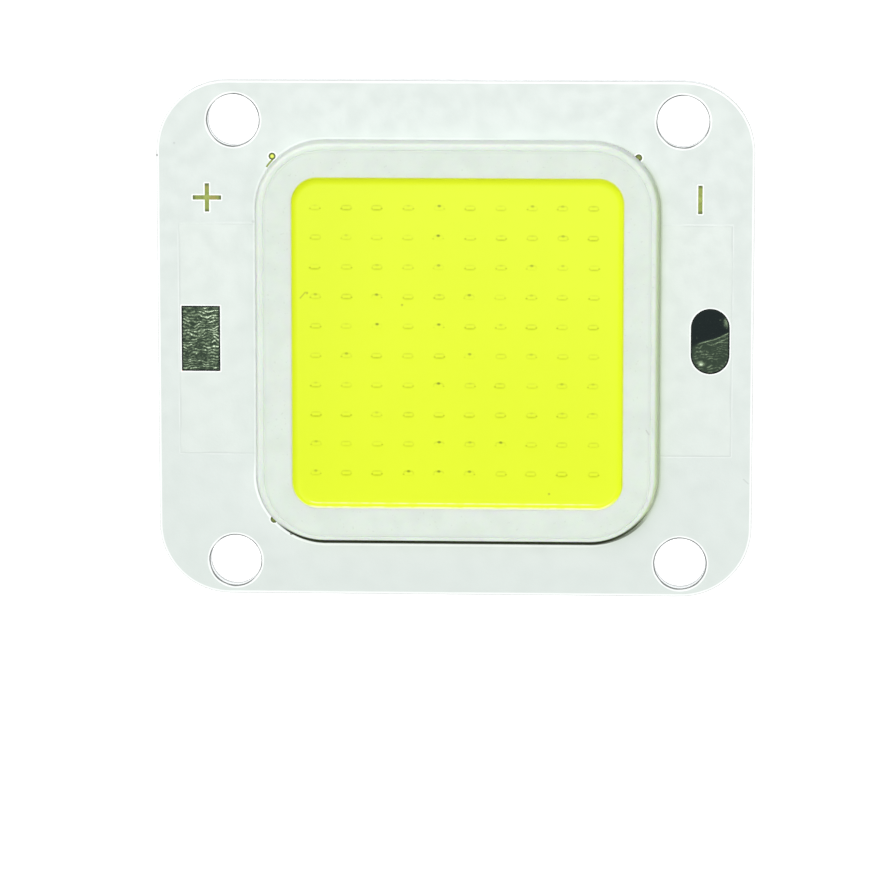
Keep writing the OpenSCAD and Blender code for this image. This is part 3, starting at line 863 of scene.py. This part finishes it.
def chip_marks(f, looks, chips):
    """How strongly a chip's outline and its wire loop show at each place, as two numbers.

    Each chip has a soft oval line. Random draws per chip set how much its lower line, its upper line and its two ends
    show, and whether the spot of a wire loop takes the lower line's place."""
    cell, local = [], []
    for value, start, step in ((f.x, chips.x, chips.step_x), (f.y, chips.y, chips.step_y)):
        from_first = f.less(value, start)
        number = f.one("ROUND", f.math("DIVIDE", from_first, step))
        number = f.least(f.greatest(number, 0.0), chips.count - 1.0)
        cell.append(number)
        local.append(f.less(from_first, f.times(number, step)))
    lower_draw, upper_draw, left_draw = f.draw(*cell, 0.5)
    right_draw, loop_draw, shift_draw = f.draw(*cell, 7.5)
    local[0] = f.less(local[0], f.times(f.less(shift_draw, 0.5), 0.1 * MM))
    local[1] = f.add(local[1], -0.04 * MM)
    inner_column = f.rest(f.times(f.plain(f.less(cell[0], 4.0)), 0.1))
    loop_share = f.smooth(f.times(loop_draw, inner_column), 0.15, 0.9)
    outline = f.slab(*local, (0, 0), (looks.mark_l, looks.mark_w), looks.mark_w * 0.95)
    line = f.fade(f.plain(outline), 0.0, looks.line_w)
    side = f.past(local[1], -0.05, 0.05)
    lower = f.times(f.less(1.05, loop_share), f.add(0.3, f.times(lower_draw, 0.7)))
    upper = f.add(0.12, f.times(upper_draw, 0.5))
    belly = f.past(f.plain(local[0]), 0, 0.5, 1.15, 0.55)
    share = f.add(f.times(f.rest(side), lower), f.times(side, upper))
    left = spot(f, local, (-0.39 * MM, -0.08 * MM), 0.13 * MM, f.times(f.math("POWER", left_draw, 1.5), 0.9))
    right = spot(f, local, (0.39 * MM, -0.06 * MM), 0.12 * MM, f.times(f.math("POWER", right_draw, 1.5), 0.8))
    drawn = f.least(f.add(f.times(line, share, belly), left, right), 1.0)
    loop = spot(f, local, (0, 0.16 * MM), 0.2 * MM, f.math("POWER", loop_share, 1.4))
    return drawn, loop


def gel_finish(looks):
    """Phosphor silicone: even yellow-green, paler where it thins out on the wall, with the faint outline of each chip
    below, the dark spot where a wire loop comes near the surface, and a few specks of dust."""
    f = Finish("phosphor_silicone")
    drawn, loop = chip_marks(f, looks, ChipGrid())
    middle, half = middle_and_half("phosphor_fill")
    front_y = middle.y - half.y
    thin = f.attribute("thin")
    seen_edge = wet_rim(f)
    to_left = f.fade(f.add(f.x, f.times(f.y, -0.15)), middle.x - half.x, middle.x - 0.35 * half.x, 0.85)
    cloud = f.smooth(f.noise(6 * MM), 0.35, 0.7, 0.0, 0.3)
    specks = f.spots((-11.4, 3.75, 0.06), (-4.04, 2.86, 0.05), (7.36, -11.86, 0.05))
    dirt = f.least(f.scratch(-11.718, 3.578, 48.65, 0.3, 0.012), specks)
    to_front = f.times(f.fade(f.y, front_y + 0.5 * MM, front_y + 1.1 * MM), f.past(f.x, -11.4, -10.9))
    broken = f.smooth(f.noise(0.9 * MM), 0.35, 0.6, 0.35, 1.0)
    near, far = (f.plain(f.less(thin, place)) for place in (0.78, 0.28))
    far_share = f.times(f.fade(far, 0.0, 0.12, 0.8), f.near(f.x, 10.3, 11.3))
    glints = f.greatest(f.fade(near, 0.0, 0.14), far_share)
    tone = f.coats(
        looks.gel,
        (f.greatest(to_left, cloud), looks.gel_side),
        (drawn, looks.mark),
        (loop, looks.deep),
        (f.near(dirt, 0, 0.08, 0.5), looks.dust),
        (f.times(f.smooth(thin, 0.74, 1.0), f.past(seen_edge, -0.12, -0.02)), looks.thin),
        (f.times(glints, to_front, broken), looks.glint),
        (f.past(seen_edge, -0.05, 0.03), looks.ending),
    )
    relief = f.bump(f.add(f.noise(0.5 * MM), f.times(drawn, -0.5)), 0.003 * MM)
    return f.surface(Base_Color=tone, Roughness=0.2, IOR=1.41, Specular_IOR_Level=0.1, Normal=relief)


class COB_OT_gel(Operator):
    """Makes the phosphor silicone with its meniscus and the chips' faint marks"""

    bl_idname = "cob.gel"
    bl_label = "Phosphor silicone"

    def execute(self, context):
        looks = context.scene.cob_gel
        gel = gel_piece(looks, gel_finish(looks))
        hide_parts("phosphor_fill")
        return {"FINISHED"}


# ---------- soldering pads ----------


def tin_ripples(rng, u, v, along):
    """Height of tin that was levelled by hot air, from 0 to 1.

    Ripples lie across the pad: a raised cosine, sharpened by a power, whose phase wanders with three soft random
    fields of falling size. A field that is longer across than along breaks each ripple into short lengths, another
    sets how bright each part of the pad is, and a last one adds grains between the ripples."""
    wander = sum(
        share * soft_field(rng, u, v, *cells) for share, cells in ((1.9, (3, 4)), (1.3, (6, 9)), (0.6, (13, 20)))
    )
    ridge = (0.5 + 0.5 * np.cos(2 * math.pi * (v * along + wander))) ** 1.4
    pieces = np.clip((soft_field(rng, u, v, 8, 24) - 0.15) / 0.45, 0, 1)
    patch = 0.5 + 0.35 * soft_field(rng, u, v, 3, 5)
    grains = 0.35 + 1.1 * soft_field(rng, u, v, 34, 56)
    between = 0.34 * soft_field(rng, u, v, 24, 44) ** 1.5
    return np.clip(ridge * pieces * patch * grains + between, 0, 1)


def pad_marks(rng, u, v, crest, round_ends):
    """Share of crest and of painted dark reflection at each place of a pad; the crest share also sets the painted
    highlights.

    The pad with round ends is smooth and dark above a line that rises to the right, a painted dark reflection, with a
    few specks. Two bright bowed lines along it, a bright patch at its lower left and a lit rim at its upper right are
    painted highlights. On the square pad a band near its right side is painted brighter, also a painted highlight."""
    if not round_ends:
        # Painted highlight: a brighter band near the square pad's right side.
        side = 0.35 * np.exp(-(((u - 0.86) / 0.1) ** 2))
        return np.clip(crest * (1 + side), 0, 1), np.zeros_like(u)
    line = 0.445 + 0.23 * (u - 0.19) + 0.012 * np.sin(7 * u)
    smooth = 1 / (1 + np.exp(-(v - line) / 0.012))
    specks = np.clip((soft_field(rng, u, v, 26, 40) - 0.8) / 0.15, 0, 1) * 0.3
    # Painted highlights: two bright bowed lines, a bright patch at the lower left and a lit rim at the upper right.
    bows = sum(
        share * np.exp(-(((v - line - gap) / 0.01) ** 2)) * np.clip((u - start) / 0.2, 0, 1)
        for gap, start, share in ((0.0, 0.1, 0.6), (-0.07, 0.45, 0.5))
    )
    bows = bows * (0.6 + 0.6 * soft_field(rng, u, v, 12, 4))
    patch = np.exp(-(((u - 0.27) / 0.07) ** 2) - ((v - 0.16) / 0.035) ** 2) * (0.7 + 0.4 * crest)
    far = np.hypot((u - 0.5) * 2, (v - 0.5) * 3.4)
    shine = 0.6 * np.exp(-(((u - 0.93) / 0.1) ** 2) - ((v - 0.8) / 0.09) ** 2) * (far > 0.5)
    lower = crest * 0.5 * (1 - smooth)
    return np.clip(lower + specks * smooth + bows + patch + shine, 0, 1), smooth * (1 - np.clip(bows + shine, 0, 1))


def pad_piece(looks, node, round_ends, material):
    """One soldering pad: a low cushion of tin with ripples, falling to its rim over the shoulder's width.

    The height is the shoulder's quarter circle plus the ripples."""
    low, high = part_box(node)
    middle, half = middle_and_half(node)
    radius = half.x if round_ends else looks.corner_r
    counts = [2 * round(h / looks.grid_step) + 1 for h in half]
    flat_x, flat_y = np.meshgrid(
        np.linspace(-half.x, half.x, counts[0]), np.linspace(-half.y, half.y, counts[1]), indexing="ij"
    )
    x, y, depth, _ = bend_to_corners(flat_x, flat_y, half.x, half.y, radius)
    rng = np.random.default_rng(looks.seed + round_ends)
    u, v = (x / half.x + 1) / 2 * 0.999, (y / half.y + 1) / 2 * 0.999
    ripples = tin_ripples(rng, u, v, 2 * half.y / looks.ripple)
    crest, dark_reflection = pad_marks(rng, u, v, ripples, round_ends)
    fall = np.clip(1 - depth / looks.shoulder, 0, 1)
    cushion = np.sqrt(np.maximum(1 - fall**2, 0))
    z = low.z + (high.z - low.z) * cushion + looks.ripple_h * (crest - 0.3) * cushion
    rows, columns = x.shape
    top = np.stack([x + middle.x, y + middle.y, z], -1).reshape(-1, 3)
    border = border_of(rows, columns)
    under = top[border].copy()
    sunk = 0.004 * MM
    under[:, 2] = low.z - sunk
    lower = rows * columns + np.arange(len(border))
    quads = np.concatenate([grid_faces(rows, columns), skirt_faces(border, lower)])
    rim_w = 0.17 * MM
    edge = np.clip(1 - depth / rim_w, 0, 1)
    filler = np.zeros(len(border))
    attributes = {
        "crest": np.concatenate([crest.ravel(), filler]),
        "rim": np.concatenate([edge.ravel(), filler + 1]),
        "dark_reflection": np.concatenate([dark_reflection.ravel(), filler]),
    }
    return make_piece(node + "_tin", np.concatenate([top, under]), quads, lower[::-1], material, attributes)


def tin_finish(looks):
    """Tinned pad: dark tin with bright ripple crests, a smooth patch and a dark line at the rim. The tones are painted
    reflections: the dark tin and the smooth patch stand for dark reflections, and the bright crests and glints are
    painted highlights.
    """
    f = Finish("tinned_pad")
    crest, rim, dark_reflection = (f.attribute(name) for name in ("crest", "rim", "dark_reflection"))
    fine = f.noise(0.1 * MM)
    lit = f.add(crest, f.times(f.less(fine, 0.5), 0.6))
    # Painted reflections: dark tin, painted highlights on the crests, and a painted dark reflection on the smooth end.
    tone = f.coats(
        looks.valley,
        (f.smooth(lit, 0.08, 0.7), looks.crest),
        (f.smooth(lit, 0.62, 1.1), looks.glint),
        # painted dark reflection on the smooth end
        (f.times(dark_reflection, f.smooth(lit, 0.1, 0.6, 0.95, 0.3)), looks.dark_reflection),
        (f.smooth(rim, 0.1, 0.55), looks.rim),
    )
    return f.surface(Base_Color=tone, Metallic=0.9, Roughness=0.36, Normal=f.bump(fine, 0.003 * MM))


class COB_OT_pads(Operator):
    """Makes the two tinned soldering pads"""

    bl_idname = "cob.pads"
    bl_label = "Soldering pads"

    def execute(self, context):
        looks = context.scene.cob_pads
        tin = tin_finish(looks)
        for node, round_ends in (("positive_pad", False), ("negative_pad", True)):
            pad = pad_piece(looks, node, round_ends, tin)
            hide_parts(node)
        return {"FINISHED"}


# ---------- stage ----------


def seen_share(graph):
    """1 for rays that show a surface to the camera, straight, mirrored or through glass, and 0 for light."""
    path = graph.node("LightPath").outputs
    return graph.greatest(*(path[f"Is {kind} Ray"] for kind in ("Camera", "Glossy", "Transmission")))


def make_floor(looks, below):
    """A wide plain floor just under the board. It keeps the board's shadow, and glows a little where it is seen, so
    that it shows as white."""
    size = 2.0
    corners = [(-size, -size, below), (size, -size, below), (size, size, below), (-size, size, below)]
    mesh = bpy.data.meshes.new("floor")
    mesh.from_pydata(corners, [], [(0, 1, 2, 3)])
    f = Finish("floor")
    glow = f.times(seen_share(f), looks.floor_glow)
    mesh.materials.append(
        f.surface(
            Base_Color=looks.floor, Roughness=0.9, Specular_IOR_Level=0.0, Emission_Color=WHITE, Emission_Strength=glow
        )
    )
    floor = bpy.data.objects.new("floor", mesh)
    bpy.context.scene.collection.objects.link(floor)


def make_world(looks):
    """Soft light from all round that falls off towards the front right of the board, and plain white wherever it is
    seen."""
    world = bpy.data.worlds.new("studio")
    graph = Graph(world)
    place = graph.node("TexCoord").outputs["Generated"]
    back_left = (-0.4, 0.9, 0.0)
    to_back = graph.node("VectorMath", place, back_left, operation="DOT_PRODUCT").outputs["Value"]
    level = graph.smooth(to_back, -0.7, 0.7, looks.ambient_front, looks.ambient)
    background = graph.tree.nodes["Background"]
    graph.feed(background.inputs["Color"], WHITE)
    graph.feed(background.inputs["Strength"], graph.smooth(seen_share(graph), 0.0, 1.0, level, 1.0))
    bpy.context.scene.world = world


def turned_to(place, target):
    """Matrix of an object at place whose -Z looks at target and whose Y is nearest to the board's Y."""
    back = (place - target).normalized()
    right = Vector((0, 1, 0)).cross(back).normalized()
    above = back.cross(right)
    turn = Matrix((right, above, back)).transposed().to_4x4()
    return Matrix.Translation(place) @ turn


def make_lamp(name, direction, distance, width, depth, level):
    """A lamp, width by depth, whose power makes a white sheet lying on the floor show at the given level."""
    towards = Vector(direction).normalized()
    data = bpy.data.lights.new(name, "AREA")
    data.shape = "RECTANGLE"
    data.size, data.size_y = width, depth
    data.energy = level * math.pi**2 * distance**2 / towards.z
    lamp = bpy.data.objects.new(name, data)
    lamp.matrix_world = turned_to(towards * distance, Vector((0, 0, 0)))
    bpy.context.scene.collection.objects.link(lamp)


def make_camera(looks):
    """A long lens, nearly straight above and a little to the upper right."""
    data = bpy.data.cameras.new("camera")
    data.sensor_width = 36
    data.lens = looks.lens
    data.clip_start, data.clip_end = 0.01, 10
    camera = bpy.data.objects.new("camera", data)
    place, target = Vector((16.26, 51.36, 371.45)) * MM, Vector((-0.85, -8.17, 1.45)) * MM
    camera.matrix_world = turned_to(place, target)
    bpy.context.scene.collection.objects.link(camera)
    bpy.context.scene.camera = camera


class COB_OT_stage(Operator):
    """Makes the floor, the lamps and the camera"""

    bl_idname = "cob.stage"
    bl_label = "Stage"

    def execute(self, context):
        looks = context.scene.cob_stage
        context.scene.view_settings.view_transform = "Standard"
        make_floor(looks, CAD_BOX[0].z - 0.01 * MM)
        make_world(looks)
        make_lamp("key", (0.0, 0.05, 1.0), 1.3, 0.7, 0.5, looks.key)
        make_lamp("fill", (0.1, -0.05, 1.0), 1.3, 1.4, 1.4, looks.fill)
        make_camera(looks)
        return {"FINISHED"}


class COB_PT_looks(Panel):
    bl_label = "COB LED"
    bl_space_type = "VIEW_3D"
    bl_region_type = "UI"
    bl_category = "COB LED"

    def draw(self, context):
        for key, group in GROUPS.items():
            box = self.layout.box()
            box.label(text=group.__name__)
            for name in group.__annotations__:
                box.prop(getattr(context.scene, key), name)
        for operator in OPERATORS:
            self.layout.operator(operator.bl_idname)


OPERATORS = (COB_OT_board, COB_OT_metal, COB_OT_dam, COB_OT_gel, COB_OT_pads, COB_OT_stage)
CLASSES = (*GROUPS.values(), *OPERATORS, COB_PT_looks)


def register():
    for item in CLASSES:
        bpy.utils.register_class(item)
    for key, group in GROUPS.items():
        setattr(bpy.types.Scene, key, PointerProperty(type=group))


def unregister():
    for key in GROUPS:
        delattr(bpy.types.Scene, key)
    for item in reversed(CLASSES):
        bpy.utils.unregister_class(item)


def main():
    register()
    bpy.ops.cob.board()
    bpy.ops.cob.metal()
    bpy.ops.cob.dam()
    bpy.ops.cob.gel()
    bpy.ops.cob.pads()
    bpy.ops.cob.stage()


if __name__ == "__main__":
    main()
